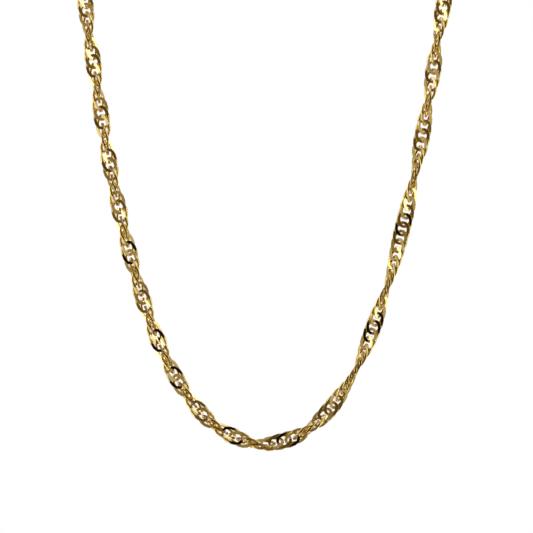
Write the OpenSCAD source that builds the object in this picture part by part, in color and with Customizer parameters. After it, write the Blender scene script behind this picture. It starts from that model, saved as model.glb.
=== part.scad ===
// Singapore chain necklace: a slim double curb chain, twisted along its length,
// worn as a long open U with its clasp at the nape.
// Every oval link passes through the next link and the one after that.
// Sizes are in millimetres and angles in degrees. The origin is the middle of
// the neck at the height of its sides, +Z up, the front of the loop at -Y.

/* [Links] */

// Outside width of a link, which is the width of the chain seen flat on
link_w = 3.2; // [3.1:0.05:3.4]
// Outside length of a link
link_l = 4.65; // [4.6:0.05:4.7]
// Thickness of the wire the links are bent from
wire_d = 0.62; // [0.55:0.01:0.64]
// Air taken off the wire, so that each link clears the ones that pass through it
play = 0.07; // [0.06:0.01:0.15]
// How far each link is turned along its own length, degrees a millimetre
link_turn = 12; // [11:0.5:13]
// Middle of one link to the middle of the next where the chain hangs taut
taut_pitch = 1.65; // [1.64:0.01:1.67]

/* [Loop] */

// Width of the loop where it comes over the shoulders
shoulder_w = 68; // [65:1:72]
// Height from the shoulders down to the lowest link
drop = 84; // [81:1:87]
// Middle of the neck forward to the front of the loop
chest_y = 45; // [42:1:48]
// Width of the loop round the neck
neck_w = 98; // [96:1:106]
// Middle of the neck back to the clasp
nape_y = 46; // [45:1:50]
// Height of the clasp over the sides of the neck
nape_z = 12; // [9:1:15]
// Turn of the twist in the hidden stretch, degrees a millimetre
natural_turn = 19; // [18.5:0.5:19.5]

/* [Clasp] */

// Thickness of the barrel
barrel_d = 3.8; // [3.4:0.1:4.4]
// Length of the barrel
barrel_l = 9; // [8:0.5:10]
// Thickness of the wire of the eye at each end
eye_wire = 0.5; // [0.45:0.05:0.55]
// Middle of an eye's wire to the middle of the eye
eye_r = 0.95; // [0.9:0.05:1]

/* [Hidden] */

// The front of the loop, from the left shoulder down and up to the right one:
// across, up, how far it lies back, and the turn of the twist there. At 90 and
// each 180 after it the chain is seen edge on, which makes its waists.
front_route = [
    [-33.8, -21.5, 2.4, -40],
    [-32.9, -28.1, 1.4, 85],
    [-31.3, -38.5, 0.4, 265],
    [-29.9, -47.4, 0, 435],
    [-28.2, -56.5, 0, 620],
    [-26.2, -65.4, 0, 815],
    [-24.1, -73.5, 0, 985],
    [-21.5, -81.6, 0, 1160],
    [-18.5, -88.9, -0.1, 1345],
    [-14.5, -95.9, -0.4, 1515],
    [-9.2, -101.7, -0.8, 1700],
    [-1.7, -105.1, -1.2, 1890],
    [4.6, -104.3, -1.4, 1985],
    [8.3, -102.4, -1.2, 2065],
    [12.8, -98.1, -0.6, 2170],
    [17.7, -90.3, 0.1, 2255],
    [23.2, -75.4, 0.2, 2435],
    [26.2, -63.9, 0.2, 2520],
    [28.2, -55.2, 0.5, 2605],
    [30.9, -41.1, 2.0, 2780],
    [31.9, -35.0, 2.7, 2880],
    [32.8, -28.8, 3.4, 2975],
    [34.0, -22.0, 4.2, 3075]
];

// The hidden stretch from the clasp to a shoulder, as shares: across of half the
// neck's width, back of the nape's distance or forward of the chest's, and up of
// the nape's height or down of the shoulder's.
neck_route = [
    [0.22, 1.00, 1.00],
    [0.45, 0.94, 0.95],
    [0.72, 0.74, 0.80],
    [0.92, 0.45, 0.54],
    [1.00, 0.12, 0.16],
    [0.98, -0.20, -0.12],
    [0.92, -0.48, -0.28],
    [0.83, -0.73, -0.42],
    [0.76, -0.86, -0.57],
    [0.71, -0.92, -0.78]
];

// The width and drop that the front route is written at, and the height of its top
drawn_shoulder_w = 68;
drawn_drop = 84;
front_top = -22;

// The wire as built, and the middle line of a link
wire = wire_d - play;
half_w = (link_w - wire) / 2;
half_l = (link_l - wire) / 2;
link_steps = 12;
wire_sides = 5;

// Links built of wire where each end is clasped, besides those of the front
end_links = 2;

// Where the links of the front sit: their mean pitch, and how far they close up and
// spread in a slow wave where the chain lies slack
first_s = 3.15;
mean_pitch = 1.595;
slack = 0.975;
slack_links = 108.5;
last_even_link = 113;

// The rest of the hidden stretch is a row of plain round lengths as thick as the
// chain, a small gap apart, so that each one is nearly straight
tube_sides = 8;
tube_steps = 4;
tube_lengths = 10;
tube_gap = 0.2;

gold = [0.76, 0.62, 0.33];

function clasp_half() = barrel_l / 2 + eye_r;

// The points of the whole route, from eye to eye
function neck_point(r, side) = [
    side * r[0] * neck_w / 2,
    r[1] * (r[1] > 0 ? nape_y : chest_y),
    r[2] * (r[2] > 0 ? nape_z : -front_top)
];
function hidden_points(side) = concat(
    [[side * clasp_half(), nape_y, nape_z]],
    [for (r = neck_route) neck_point(r, side)]
);
function backwards(list) = [for (i = [len(list) - 1:-1:0]) list[i]];

left_points = hidden_points(-1);
right_points = backwards(hidden_points(1));
front_points = [for (r = front_route) [
    r[0] * shoulder_w / drawn_shoulder_w,
    r[2] - chest_y,
    front_top + (r[1] - front_top) * drop / drawn_drop
]];
points = concat(left_points, front_points, right_points);
n_points = len(points);
left_n = len(left_points);
front_n = len(front_points);

function chord(i) = norm(points[i + 1] - points[i]);

// Distance along the route at each point, straight from point to point
knots = [for (i = 0, t = 0; i < n_points; t = t + (i < n_points - 1 ? chord(i) : 0), i = i + 1) t];

// The turn of the twist at each point, carried on evenly where it is hidden
function turn_at_point(i) =
    i < left_n ? front_route[0][3] - natural_turn * (knots[left_n] - knots[i])
    : i < left_n + front_n ? front_route[i - left_n][3]
    : front_route[front_n - 1][3] + natural_turn * (knots[i] - knots[left_n + front_n - 1]);

rows = [for (i = [0:n_points - 1]) concat(points[i], [turn_at_point(i)])];

function slope(i) =
    i == 0 ? (rows[1] - rows[0]) / (knots[1] - knots[0])
    : i == n_points - 1 ? (rows[i] - rows[i - 1]) / (knots[i] - knots[i - 1])
    : (rows[i + 1] - rows[i - 1]) / (knots[i + 1] - knots[i - 1]);
slopes = [for (i = [0:n_points - 1]) slope(i)];

knot_table = [for (i = [0:n_points - 1]) [knots[i], i]];

// A smooth curve through the rows, by distance along the straight lines
function on_curve(u) =
    let (
        k = min(n_points - 2, max(0, floor(lookup(u, knot_table)))),
        h = knots[k + 1] - knots[k],
        a = (u - knots[k]) / h,
        b = a * a,
        c = b * a
    )
    (2 * c - 3 * b + 1) * rows[k] + (c - 2 * b + a) * h * slopes[k]
    + (3 * b - 2 * c) * rows[k + 1] + (c - b) * h * slopes[k + 1];

// Samples along the curve: true length, direction, and a direction across it that
// faces forward at the front and is carried on from there without turning
samples = 600;
step_u = knots[n_points - 1] / samples;
function place_at(u) = let (row = on_curve(u)) [row[0], row[1], row[2]];
function unit(v) = v / norm(v);
function way_at(u) = unit(place_at(u + step_u / 2) - place_at(u - step_u / 2));
function squared(v, way) = unit(v - (v * way) * way);

route_xyz = [for (i = [0:samples]) place_at(i * step_u)];
route_way = [for (i = [0:samples]) way_at(i * step_u)];
route_s = [
    for (i = 0, s = 0; i <= samples;
        s = s + (i < samples ? norm(route_xyz[i + 1] - route_xyz[i]) : 0), i = i + 1) s
];
forward = [0, -1, 0];
first_i = ceil(knots[left_n] / step_u);
last_i = floor(knots[left_n + front_n - 1] / step_u);
faces_before = [
    for (i = first_i, v = forward; i >= 0; v = squared(v, route_way[i]), i = i - 1) v
];
faces_after = [
    for (i = last_i, v = forward; i <= samples; v = squared(v, route_way[i]), i = i + 1) v
];
function face_near(i) =
    i < first_i ? faces_before[first_i - i]
    : i > last_i ? faces_after[i - last_i]
    : forward;

u_table = [for (i = [0:samples]) [route_s[i], i * step_u]];
s_table = [for (i = [0:samples]) [i * step_u, route_s[i]]];
route_length = route_s[samples];
front_start = lookup(knots[left_n], s_table);
front_end = lookup(knots[left_n + front_n - 1], s_table);
front_middle = (front_start + front_end) / 2;

// The frame at a place on the route: point, direction, the two directions across
// it that the twist turns from one to the other, and the turn of the twist
function frame_at(s) =
    let (
        u = lookup(s, u_table),
        way = way_at(u),
        face = squared(face_near(round(u / step_u)), way)
    )
    [place_at(u), way, cross(face, way), face, on_curve(u)[3]];

// The middle of link n, which past each end of the slack front hangs taut
function link_s(n) =
    let (even = min(max(n, 0), last_even_link))
    front_start + first_s + mean_pitch * even + slack * sin(360 * even / slack_links)
    + taut_pitch * (n - even);

// The wire's ring of corners at one step round the middle line of a link
function wire_ring(f, j) =
    let (
        t = 360 * (j + 0.5) / link_steps,
        mid = [half_l * cos(t), half_w * sin(t)],
        away = unit([half_w * cos(t), half_l * sin(t)]),
        up = f[3] * cos(f[4]) - f[2] * sin(f[4]),
        side = f[2] * cos(f[4]) + f[3] * sin(f[4])
    )
    [for (k = [0:wire_sides - 1])
        let (
            a = 360 * k / wire_sides,
            x = mid[0] + away[0] * wire / 2 * cos(a),
            y = mid[1] + away[1] * wire / 2 * cos(a),
            z = wire / 2 * sin(a),
            g = -link_turn * x,
            v = y * cos(g) - z * sin(g),
            w = y * sin(g) + z * cos(g)
        )
        f[0] + f[1] * x + side * v + up * w];

function link_points(s) =
    let (f = frame_at(s))
    [for (j = [0:link_steps - 1]) each wire_ring(f, j)];

function link_faces(base) = [
    for (j = [0:link_steps - 1], k = [0:wire_sides - 1])
        let (
            j2 = (j + 1) % link_steps,
            k2 = (k + 1) % wire_sides,
            a = base + j * wire_sides + k,
            b = base + j2 * wire_sides + k,
            c = base + j2 * wire_sides + k2,
            d = base + j * wire_sides + k2
        )
        each [[a, c, b], [a, d, c]]
];

// One plain length of a hidden stretch, from one place on the route to another
function tube_points(s1, s2) = [
    for (i = [0:tube_steps - 1])
        let (f = frame_at(s1 + (s2 - s1) * i / (tube_steps - 1)))
        each [for (k = [0:tube_sides - 1])
            let (a = 360 * (k + 0.5) / tube_sides)
            f[0] + link_w / 2 * (f[2] * cos(a) + f[3] * sin(a))]
];

function tube_faces(base) = concat(
    [for (i = [0:tube_steps - 2], k = [0:tube_sides - 1])
        let (
            k2 = (k + 1) % tube_sides,
            a = base + i * tube_sides + k,
            b = a + tube_sides,
            c = base + (i + 1) * tube_sides + k2,
            d = base + i * tube_sides + k2
        )
        each [[a, b, c], [a, c, d]]],
    [for (k = [1:tube_sides - 2]) [base, base + k, base + k + 1]],
    [for (k = [1:tube_sides - 2])
        let (last = base + (tube_steps - 1) * tube_sides)
        [last, last + k + 1, last + k]]
);

// The links of the front, by where their middles are on the route: all that fit on
// it, shared between the two sides at its middle
half_link = half_l + wire / 2;
most_links = ceil((front_end - front_start) / min(mean_pitch, taut_pitch));
front_links = [
    for (n = [-2:most_links + 2])
        if (link_s(n) > front_start && link_s(n) < front_end) link_s(n)
];
left_front = [for (s = front_links) if (s < front_middle) s];
right_front = [for (s = front_links) if (s >= front_middle) s];
left_end = [for (k = [0:end_links - 1]) half_l + taut_pitch * k];
right_end = [for (s = left_end) route_length - s];
left_tube = [
    left_end[end_links - 1] + half_link + tube_gap,
    left_front[0] - half_link - tube_gap
];
right_tube = [
    right_front[len(right_front) - 1] + half_link + tube_gap,
    right_end[end_links - 1] - half_link - tube_gap
];

module side_of_chain(link_places, tube) {
    per_link = link_steps * wire_sides;
    per_length = tube_steps * tube_sides;
    count = len(link_places);
    pitch = (tube[1] - tube[0] + tube_gap) / tube_lengths;
    polyhedron(
        points = concat(
            [for (s = link_places) each link_points(s)],
            [for (i = [0:tube_lengths - 1])
                let (start = tube[0] + pitch * i)
                each tube_points(start, start + pitch - tube_gap)]
        ),
        faces = concat(
            [for (i = [0:count - 1]) each link_faces(i * per_link)],
            [for (i = [0:tube_lengths - 1])
                each tube_faces(count * per_link + i * per_length)]
        ),
        convexity = 12
    );
}

module chain_left() {
    color(gold)
        side_of_chain(concat(left_end, left_front), left_tube);
}

module chain_right() {
    color(gold)
        side_of_chain(concat(right_front, right_end), right_tube);
}

// How far an end link has turned where it goes through its eye
eye_lead = link_turn * (half_l - eye_r / 2);

// The clasp is one plain closed barrel with an eye at each end for the end links
module eye(side, link_place) {
    f = frame_at(link_place);
    turn = f[4] - side * eye_lead;
    axis = f[2] * cos(turn) + f[3] * sin(turn);
    translate([side * clasp_half(), 0, 0])
        rotate([atan2(-axis[1], axis[2]), 0, 0])
            rotate_extrude($fn = 48)
                translate([eye_r, 0])
                    circle(d = eye_wire, $fn = 32);
}

// The seam is the groove where the two halves of the barrel screw together
seam = 0.15;

module barrel() {
    r = barrel_d / 2;
    h = barrel_l / 2;
    end_r = 0.55 * r;
    shoulder_r = 0.85 * r;
    shoulder_h = 0.18 * r;
    bevel_h = 0.5 * r;
    rotate([0, 90, 0])
        rotate_extrude($fn = 64)
            polygon([
                [0, -h],
                [end_r, -h],
                [shoulder_r, -h + shoulder_h],
                [r, -h + bevel_h],
                [r, -seam],
                [r - seam, 0],
                [r, seam],
                [r, h - bevel_h],
                [shoulder_r, h - shoulder_h],
                [end_r, h],
                [0, h]
            ]);
}

module clasp() {
    color(gold)
        translate([0, nape_y, nape_z])
            union() {
                barrel();
                eye(-1, left_end[0]);
                eye(1, right_end[0]);
            }
}

chain_left();
chain_right();
clasp();
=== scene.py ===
import math

import bmesh
import bpy
from mathutils import Matrix, Vector


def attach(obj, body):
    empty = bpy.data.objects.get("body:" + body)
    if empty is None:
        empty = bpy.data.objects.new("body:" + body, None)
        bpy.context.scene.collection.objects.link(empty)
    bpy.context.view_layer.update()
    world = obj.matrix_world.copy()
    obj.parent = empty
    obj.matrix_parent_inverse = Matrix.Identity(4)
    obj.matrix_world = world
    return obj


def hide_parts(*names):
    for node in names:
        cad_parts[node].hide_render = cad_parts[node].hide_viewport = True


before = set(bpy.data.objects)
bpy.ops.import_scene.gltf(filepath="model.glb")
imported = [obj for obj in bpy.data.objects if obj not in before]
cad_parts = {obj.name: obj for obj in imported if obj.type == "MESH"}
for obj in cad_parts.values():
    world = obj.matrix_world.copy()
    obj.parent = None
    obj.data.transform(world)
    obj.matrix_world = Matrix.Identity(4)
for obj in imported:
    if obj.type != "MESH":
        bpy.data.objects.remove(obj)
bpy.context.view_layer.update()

# All sizes below are in millimetres and all angles in degrees, as in the source of the
# solids, and are made metres where a shape takes its place
MM = 0.001

# The picture: its width in pixels, a pixel's size on the front of the loop, the pixel
# of the middle of the neck, and the height of the picture's top edge
PICTURE_PX = 533
PIXEL = 0.1875
MIDLINE_PX = 264
PICTURE_TOP = -22
LENS = 200
SENSOR = 36

# The link: outside size, wire, the turn along its own length in degrees a millimetre,
# how far from its middle plane its flat faces are cut, and how much longer its sides
# are drawn than an oval's
LINK_W = 3.2
LINK_L = 4.65
WIRE = 0.63
LINK_TURN = 10.5
CUT_HEIGHT = 0.26
SIDE_STRETCH = 1.3
LINK_STEPS = 14
WIRE_SIDES = 6

# The front of the loop: across, up, how far it lies back, and the turn of the twist
FRONT_ROUTE = [
    (-33.8, -21.5, 2.4, -40),
    (-32.9, -28.1, 1.4, 85),
    (-31.3, -38.5, 0.4, 265),
    (-29.9, -47.4, 0, 435),
    (-28.2, -56.5, 0, 620),
    (-26.2, -65.4, 0, 815),
    (-24.1, -73.5, 0, 985),
    (-21.5, -81.6, 0, 1160),
    (-18.5, -88.9, -0.1, 1345),
    (-14.5, -95.9, -0.4, 1515),
    (-9.2, -101.7, -0.8, 1700),
    (-1.7, -105.1, -1.2, 1890),
    (4.6, -104.3, -1.4, 1985),
    (8.3, -102.4, -1.2, 2065),
    (12.8, -98.1, -0.6, 2170),
    (17.7, -90.3, 0.1, 2255),
    (23.2, -75.4, 0.2, 2435),
    (26.2, -63.9, 0.2, 2520),
    (28.2, -55.2, 0.5, 2605),
    (30.9, -41.1, 2.0, 2780),
    (31.9, -35.0, 2.7, 2880),
    (32.8, -28.8, 3.4, 2975),
    (34.0, -22.0, 4.2, 3075),
]

# The hidden stretch from the clasp to a shoulder, as shares: across of half the
# neck's width, back of the nape's distance or forward of the chest's, and up of
# the nape's height or down of the shoulder's
NECK_ROUTE = [
    (0.22, 1.00, 1.00),
    (0.45, 0.94, 0.95),
    (0.72, 0.74, 0.80),
    (0.92, 0.45, 0.54),
    (1.00, 0.12, 0.16),
    (0.98, -0.20, -0.12),
    (0.92, -0.48, -0.28),
    (0.83, -0.73, -0.42),
    (0.76, -0.86, -0.57),
    (0.71, -0.92, -0.78),
]
CHEST_Y = 45
NECK_W = 98
NAPE_Y = 46
NAPE_Z = 12
SHOULDER_Z = 22
NATURAL_TURN = 19

# Half of the clasp, from its middle to the middle of an eye
CLASP_HALF = 5.45

# Where the links sit: the pitch where the chain is taut, and at the front the mean
# pitch, the first link's place, a slow wave that closes the links up and spreads
# them, how many links that wave is long, and the last link at the mean pitch
TAUT_PITCH = 1.65
MEAN_PITCH = 1.595
FIRST_S = 3.15
SLACK = 0.975
SLACK_LINKS = 108.5
LAST_EVEN = 113

# How many steps the route is measured in
SAMPLES = 900

# Links of the front that hang rolled a little between their neighbours: the number
# from the left shoulder, and the degrees
ROLLED_LINKS = {
    13: -6, 38: -6, 67: -4, 70: 8, 71: 6, 72: 4, 73: 2, 79: -4, 99: -6, 107: 8, 109: -6, 111: 8,
}

# The studio, by the direction that light comes from: across, back and up are each
# from -1 to 1, and a fade is where it starts and ends, then its level at each end.
# The room is dim and patchy, dimmer above, below and round the lens, warmer where it
# is dark, and nearly black where the lens is. A pale wall is behind, and a soft,
# faintly cool light at each side.
LENS_FADE = (-0.95, -0.93, 0.08, 1)
ROOM_FADE = (0.25, 0.8, 0.45, 0.27)
FRONT_FADE = (-0.9, -0.4, 0.28, 1.1)
PATCH_FADE = (0.35, 0.65, 0.75, 1.25)
PATCH_SCALE = 2.2
ROOM_TINTS = [
    (0.06, (0.06, 0.036, 0.012)),
    (0.13, (0.13, 0.09, 0.032)),
    (0.25, (0.25, 0.198, 0.098)),
    (0.45, (0.45, 0.42, 0.3)),
    (1.0, (1.0, 0.97, 0.9)),
]
WALL_BACK = (0.3, 0.6, 0, 0.3)
WALL_SIDE = (0.2, -0.5, 0, 1)
SIDE_LIGHTS = [(-0.4, -0.52, 0, 1.9), (0.4, 0.52, 0, 1.8)]
SIDE_TINT = (0.78, 0.85, 0.84)
LIGHT_FRONT = (-0.34, -0.25, 0, 1)
LIGHT_REAR = (0.22, 0.13, 0, 1)

# The round floor: its size, its height, and how much it glows
FLOOR_R = 420
FLOOR_Z = -200
FLOOR_GLOW = 0.5


# Route

def hidden_points(side):
    """The chosen points from the clasp to one shoulder."""
    points = [(side * CLASP_HALF, NAPE_Y, NAPE_Z)]
    for across, back, up in NECK_ROUTE:
        y = back * (NAPE_Y if back > 0 else CHEST_Y)
        z = up * (NAPE_Z if up > 0 else SHOULDER_Z)
        points.append((side * across * NECK_W / 2, y, z))
    return points


class Route:
    """The chain's middle line as one smooth curve, with the turn of the twist along it."""

    def __init__(self):
        left = hidden_points(-1)
        front = [(x, back - CHEST_Y, z) for x, z, back, _ in FRONT_ROUTE]
        right = hidden_points(1)[::-1]
        points = [Vector(p) for p in left + front + right]
        self.knots = [0.0]
        for a, b in zip(points, points[1:]):
            self.knots.append(self.knots[-1] + (b - a).length)
        first = len(left)
        last = first + len(front) - 1
        turns = [self.turn_at_point(i, first, last) for i in range(len(points))]
        self.rows = [Vector((*p, turn)) for p, turn in zip(points, turns)]
        self.slopes = [self.slope(i) for i in range(len(self.rows))]
        self.step = self.knots[-1] / SAMPLES
        places = [self.place(i * self.step) for i in range(SAMPLES + 1)]
        self.lengths = [0.0]
        for a, b in zip(places, places[1:]):
            self.lengths.append(self.lengths[-1] + (b - a).length)
        self.faces = self.carried_faces(self.knots[first], self.knots[last])
        self.front_start = self.length_at(self.knots[first])
        self.front_end = self.length_at(self.knots[last])

    def turn_at_point(self, i, first, last):
        """The turn at a chosen point, carried on evenly where the chain is hidden."""
        if i < first:
            return FRONT_ROUTE[0][3] - NATURAL_TURN * (self.knots[first] - self.knots[i])
        if i > last:
            return FRONT_ROUTE[-1][3] + NATURAL_TURN * (self.knots[i] - self.knots[last])
        return FRONT_ROUTE[i - first][3]

    def slope(self, i):
        """How place and turn change at a chosen point, from its two neighbours."""
        a = max(0, i - 1)
        b = min(len(self.rows) - 1, i + 1)
        return (self.rows[b] - self.rows[a]) / (self.knots[b] - self.knots[a])

    def row_at(self, u):
        """Place and turn at u, the distance along straight lines between the points."""
        k = 0
        while k < len(self.knots) - 2 and self.knots[k + 1] <= u:
            k += 1
        h = self.knots[k + 1] - self.knots[k]
        a = (u - self.knots[k]) / h
        b = a * a
        c = b * a
        return (
            (2 * c - 3 * b + 1) * self.rows[k]
            + (c - 2 * b + a) * h * self.slopes[k]
            + (3 * b - 2 * c) * self.rows[k + 1]
            + (c - b) * h * self.slopes[k + 1]
        )

    def place(self, u):
        return self.row_at(u).xyz

    def way(self, u):
        """The direction in which the chain runs at u."""
        return (self.place(u + self.step / 2) - self.place(u - self.step / 2)).normalized()

    def carried_faces(self, start, end):
        """A direction across the chain: forward at the front, then carried on unturned."""
        forward = Vector((0, -1, 0))
        faces = [forward] * (SAMPLES + 1)
        last = int(end / self.step)
        first = math.ceil(start / self.step)
        for indices in (range(last, SAMPLES + 1), range(first, -1, -1)):
            face = forward
            for i in indices:
                face = squared(face, self.way(i * self.step))
                faces[i] = face
        return faces

    def length_at(self, u):
        """The length of chain from its start to u."""
        k = min(SAMPLES - 1, int(u / self.step))
        share = u / self.step - k
        return self.lengths[k] + share * (self.lengths[k + 1] - self.lengths[k])

    def u_at(self, s):
        """The u at which the chain is s long, found by halving."""
        low = 0
        high = SAMPLES
        while high - low > 1:
            mid = (low + high) // 2
            if self.lengths[mid] <= s:
                low = mid
            else:
                high = mid
        share = (s - self.lengths[low]) / (self.lengths[high] - self.lengths[low])
        return (low + share) * self.step

    def link_matrix(self, s, roll):
        """Takes a link from its own frame, its long way along X, to its place at s."""
        u = self.u_at(s)
        way = self.way(u)
        face = squared(self.faces[round(u / self.step)], way)
        across = face.cross(way)
        turn = math.radians(self.row_at(u)[3] + roll)
        side = across * math.cos(turn) + face * math.sin(turn)
        up = face * math.cos(turn) - across * math.sin(turn)
        matrix = Matrix((way, side, up)).transposed().to_4x4()
        matrix.translation = self.place(u)
        return Matrix.Scale(MM, 4) @ matrix

    def link_s(self, n):
        """The middle of link n, which past each end of the slack front hangs taut."""
        even = min(max(n, 0), LAST_EVEN)
        wave = SLACK * math.sin(2 * math.pi * even / SLACK_LINKS)
        return self.front_start + FIRST_S + MEAN_PITCH * even + wave + TAUT_PITCH * (n - even)

    def link_places(self):
        """The middle and roll of each link from eye to eye, for the left and the right."""
        half_l = (LINK_L - WIRE) / 2
        middle = (self.front_start + self.front_end) / 2
        most = math.ceil((self.front_end - self.front_start) / MEAN_PITCH)
        places = [(self.link_s(n), ROLLED_LINKS.get(n, 0)) for n in range(-most, most)]
        front = [p for p in places if self.front_start < p[0] < self.front_end]
        left = even_places(half_l, front[0][0])
        right = even_places(front[-1][0], self.lengths[-1] - half_l)
        places = left + front[1:-1] + right
        return [p for p in places if p[0] < middle], [p for p in places if p[0] >= middle]


def squared(face, way):
    """The direction nearest to face that is square to way."""
    return (face - face.dot(way) * way).normalized()


def even_places(start, end):
    """Unrolled links from start to end, as near the taut pitch as they come."""
    count = round((end - start) / TAUT_PITCH)
    return [(start + (end - start) * i / count, 0) for i in range(count + 1)]


# Chain

def oval_ring(bm):
    """A ring of round wire in its middle plane, drawn out along X to an oval."""
    half_w = (LINK_W - WIRE) / 2
    half_l = (LINK_L - WIRE) / 2
    made = bmesh.ops.create_circle(bm, segments=WIRE_SIDES, radius=WIRE / 2, cap_ends=False)
    verts = made["verts"]
    bmesh.ops.rotate(bm, matrix=Matrix.Rotation(math.radians(90), 3, "X"), verts=verts)
    bmesh.ops.translate(bm, vec=(half_w, 0, 0), verts=verts)
    bmesh.ops.spin(
        bm, geom=verts + bm.edges[:], cent=(0, 0, 0), axis=(0, 0, 1),
        angle=2 * math.pi, steps=LINK_STEPS, use_merge=True,
    )
    bmesh.ops.remove_doubles(bm, verts=bm.verts, dist=WIRE / 100)
    half_step = Matrix.Rotation(math.pi / LINK_STEPS, 3, "Z")
    bmesh.ops.rotate(bm, matrix=half_step, verts=bm.verts)
    for v in bm.verts:
        along = SIDE_STRETCH * v.co.x / v.co.xy.length
        v.co.x += (half_l - half_w) * max(-1, min(1, along))


def twist_ring(bm):
    """Turns the oval along its length, as a curb chain's link is turned."""
    for v in bm.verts:
        v.co.rotate(Matrix.Rotation(math.radians(-LINK_TURN * v.co.x), 3, "X"))


def cut_flat_face(bm, side):
    """Cuts the wire off flat at one side of the link and closes the cut."""
    cut = bmesh.ops.bisect_plane(
        bm, geom=bm.verts[:] + bm.edges[:] + bm.faces[:], dist=WIRE / 1000,
        plane_co=(0, 0, side * CUT_HEIGHT), plane_no=(0, 0, side), clear_outer=True,
    )
    rims = [e for e in cut["geom_cut"] if isinstance(e, bmesh.types.BMEdge)]
    filled = bmesh.ops.holes_fill(bm, edges=rims, sides=0)
    for face in filled["faces"]:
        face.material_index = 1


def link_mesh():
    """One link: an oval of round wire, turned along its length, with flat cut faces."""
    bm = bmesh.new()
    oval_ring(bm)
    twist_ring(bm)
    cut_flat_face(bm, 1)
    cut_flat_face(bm, -1)
    bmesh.ops.recalc_face_normals(bm, faces=bm.faces)
    for face in bm.faces:
        face.smooth = face.material_index == 0
    for edge in bm.edges:
        edge.smooth = all(f.material_index == 0 for f in edge.link_faces)
    mesh = bpy.data.meshes.new("link")
    bm.to_mesh(mesh)
    bm.free()
    return mesh


def object_from(bm, name, materials):
    mesh = bpy.data.meshes.new(name)
    bm.to_mesh(mesh)
    bm.free()
    for material in materials:
        mesh.materials.append(material)
    piece = bpy.data.objects.new(name, mesh)
    bpy.context.collection.objects.link(piece)
    return piece


def chain_piece(name, node, route, places, materials):
    """All the links at the given places, as one mesh in place of a CAD node."""
    link = link_mesh()
    bm = bmesh.new()
    for s, roll in places:
        copy = link.copy()
        copy.transform(route.link_matrix(s, roll))
        bm.from_mesh(copy)
        bpy.data.meshes.remove(copy)
    bpy.data.meshes.remove(link)
    piece = object_from(bm, name, materials)
    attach(piece, "root")
    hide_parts(node)


# Finish

def shader_nodes(name):
    material = bpy.data.materials.new(name)
    material.use_nodes = True
    nodes = material.node_tree.nodes
    return material, nodes, material.node_tree.links, nodes["Principled BSDF"]


def noise(nodes, links, place, scale, detail):
    node = nodes.new("ShaderNodeTexNoise")
    node.inputs["Scale"].default_value = scale
    node.inputs["Detail"].default_value = detail
    links.new(place, node.inputs["Vector"])
    return node.outputs["Fac"]


def fade(nodes, links, source, start, end, low, high):
    """A smooth step from low to high as the source goes from start to end."""
    node = nodes.new("ShaderNodeMapRange")
    node.interpolation_type = "SMOOTHSTEP"
    node.inputs["From Min"].default_value = start
    node.inputs["From Max"].default_value = end
    node.inputs["To Min"].default_value = low
    node.inputs["To Max"].default_value = high
    links.new(source, node.inputs["Value"])
    return node.outputs["Result"]


def gold(name, light, deep, roughness, scratch):
    """Polished gold: tone and polish vary softly, with hairline scratches."""
    material, nodes, links, shader = shader_nodes(name)
    place = nodes.new("ShaderNodeTexCoord").outputs["Object"]
    patches = noise(nodes, links, place, scale=420, detail=5)
    tone = nodes.new("ShaderNodeValToRGB")
    tone.color_ramp.elements[0].position = 0.3
    tone.color_ramp.elements[0].color = (*deep, 1)
    tone.color_ramp.elements[1].position = 0.62
    tone.color_ramp.elements[1].color = (*light, 1)
    links.new(patches, tone.inputs["Fac"])
    links.new(tone.outputs["Color"], shader.inputs["Base Color"])
    links.new(fade(nodes, links, patches, 0.3, 0.7, *roughness), shader.inputs["Roughness"])
    stretch = nodes.new("ShaderNodeMapping")
    stretch.inputs["Scale"].default_value = (1, 0.25, 0.6)
    links.new(place, stretch.inputs["Vector"])
    hairs = noise(nodes, links, stretch.outputs["Vector"], scale=5200, detail=3)
    bump = nodes.new("ShaderNodeBump")
    bump.inputs["Strength"].default_value = scratch
    bump.inputs["Distance"].default_value = 0.02 * MM
    links.new(hairs, bump.inputs["Height"])
    links.new(bump.outputs["Normal"], shader.inputs["Normal"])
    shader.inputs["Metallic"].default_value = 1
    return material


# Studio

def math_node(nodes, links, operation, *sources):
    node = nodes.new("ShaderNodeMath")
    node.operation = operation
    for source, socket in zip(sources, node.inputs):
        links.new(source, socket)
    return node.outputs["Value"]


def room_light(nodes, links, direction, across, back, up):
    """The dim room and the wall behind, as one background."""
    height = math_node(nodes, links, "ABSOLUTE", up)
    patches = noise(nodes, links, direction, scale=PATCH_SCALE, detail=1)
    room = fade(nodes, links, height, *ROOM_FADE)
    for dimmer in (
        fade(nodes, links, back, *LENS_FADE),
        fade(nodes, links, back, *FRONT_FADE),
        fade(nodes, links, patches, *PATCH_FADE),
    ):
        room = math_node(nodes, links, "MULTIPLY", room, dimmer)
    wall = math_node(
        nodes, links, "MULTIPLY",
        fade(nodes, links, back, *WALL_BACK), fade(nodes, links, across, *WALL_SIDE),
    )
    # The ramp keeps its own first stop, which is black
    tint = nodes.new("ShaderNodeValToRGB")
    tint.color_ramp.elements.remove(tint.color_ramp.elements[1])
    for level, colour in ROOM_TINTS:
        tint.color_ramp.elements.new(level).color = (*colour, 1)
    links.new(math_node(nodes, links, "ADD", room, wall), tint.inputs["Fac"])
    background = nodes.new("ShaderNodeBackground")
    links.new(tint.outputs["Color"], background.inputs["Color"])
    return background.outputs["Background"]


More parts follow.
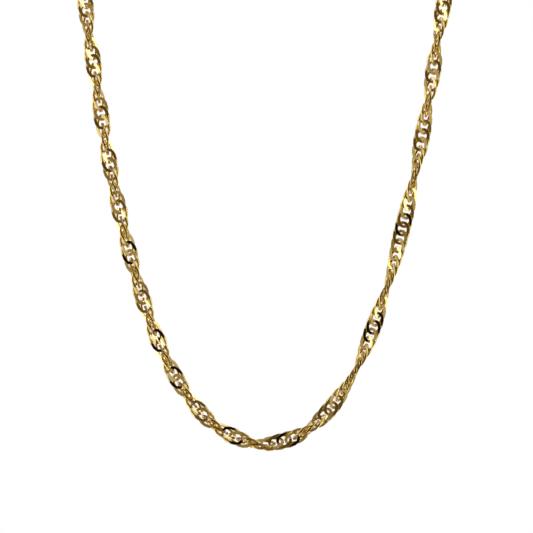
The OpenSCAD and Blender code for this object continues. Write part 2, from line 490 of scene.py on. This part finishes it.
def side_lights(nodes, links, across, back):
    """A soft light at each side, between the lens and the wall."""
    left, right = (fade(nodes, links, across, *light) for light in SIDE_LIGHTS)
    depth = math_node(
        nodes, links, "MULTIPLY",
        fade(nodes, links, back, *LIGHT_FRONT), fade(nodes, links, back, *LIGHT_REAR),
    )
    both = math_node(nodes, links, "ADD", left, right)
    background = nodes.new("ShaderNodeBackground")
    background.inputs["Color"].default_value = (*SIDE_TINT, 1)
    strength = math_node(nodes, links, "MULTIPLY", both, depth)
    links.new(strength, background.inputs["Strength"])
    return background.outputs["Background"]


def studio():
    """The light of the studio, with a plain white backdrop where it is seen directly."""
    world = bpy.data.worlds.new("studio")
    bpy.context.scene.world = world
    world.use_nodes = True
    nodes = world.node_tree.nodes
    links = world.node_tree.links
    direction = nodes.new("ShaderNodeTexCoord").outputs["Generated"]
    split = nodes.new("ShaderNodeSeparateXYZ")
    links.new(direction, split.inputs["Vector"])
    across, back, up = (split.outputs[axis] for axis in "XYZ")
    lit = nodes.new("ShaderNodeAddShader")
    links.new(room_light(nodes, links, direction, across, back, up), lit.inputs[0])
    links.new(side_lights(nodes, links, across, back), lit.inputs[1])
    backdrop = nodes["Background"]
    backdrop.inputs["Color"].default_value = (1, 1, 1, 1)
    seen = nodes.new("ShaderNodeLightPath").outputs["Is Camera Ray"]
    mix = nodes.new("ShaderNodeMixShader")
    links.new(seen, mix.inputs["Fac"])
    links.new(lit.outputs["Shader"], mix.inputs[1])
    links.new(backdrop.outputs["Background"], mix.inputs[2])
    links.new(mix.outputs["Shader"], nodes["World Output"].inputs["Surface"])


def floor():
    """A pale matt floor that glows a little, since the room is dim."""
    material, _, _, shader = shader_nodes("pale_floor")
    shader.inputs["Base Color"].default_value = (0.82, 0.82, 0.81, 1)
    shader.inputs["Roughness"].default_value = 0.6
    shader.inputs["Emission Color"].default_value = (1, 1, 1, 1)
    shader.inputs["Emission Strength"].default_value = FLOOR_GLOW
    bm = bmesh.new()
    bmesh.ops.create_circle(bm, segments=96, radius=FLOOR_R * MM, cap_ends=True)
    bmesh.ops.translate(bm, vec=(0, 0, FLOOR_Z * MM), verts=bm.verts)
    piece = object_from(bm, "floor", [material])
    piece.visible_glossy = False


def camera():
    """Straight on to the front of the loop, as far off as a long lens needs."""
    data = bpy.data.cameras.new("camera")
    data.lens = LENS
    data.sensor_width = SENSOR
    data.clip_start = 0.01
    data.clip_end = 20
    width = PICTURE_PX * PIXEL
    x = (PICTURE_PX / 2 - MIDLINE_PX) * PIXEL
    y = -CHEST_Y - width * LENS / SENSOR
    z = PICTURE_TOP - width / 2
    holder = bpy.data.objects.new("camera", data)
    holder.location = Vector((x, y, z)) * MM
    holder.rotation_euler = (math.radians(90), 0, 0)
    bpy.context.collection.objects.link(holder)
    bpy.context.scene.camera = holder


# Necklace

wire_gold = gold(
    "polished_wire", light=(0.9, 0.68, 0.28), deep=(0.74, 0.53, 0.18),
    roughness=(0.1, 0.2), scratch=0.12,
)
cut_gold = gold(
    "cut_faces", light=(0.9, 0.7, 0.31), deep=(0.84, 0.64, 0.26),
    roughness=(0.05, 0.1), scratch=0.05,
)

route = Route()
left_places, right_places = route.link_places()
chain_piece("left_links", "chain_left", route, left_places, [wire_gold, cut_gold])
chain_piece("right_links", "chain_right", route, right_places, [wire_gold, cut_gold])

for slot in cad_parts["clasp"].material_slots:
    slot.material = wire_gold

floor()
studio()
camera()
bpy.context.scene.view_settings.view_transform = "Standard"
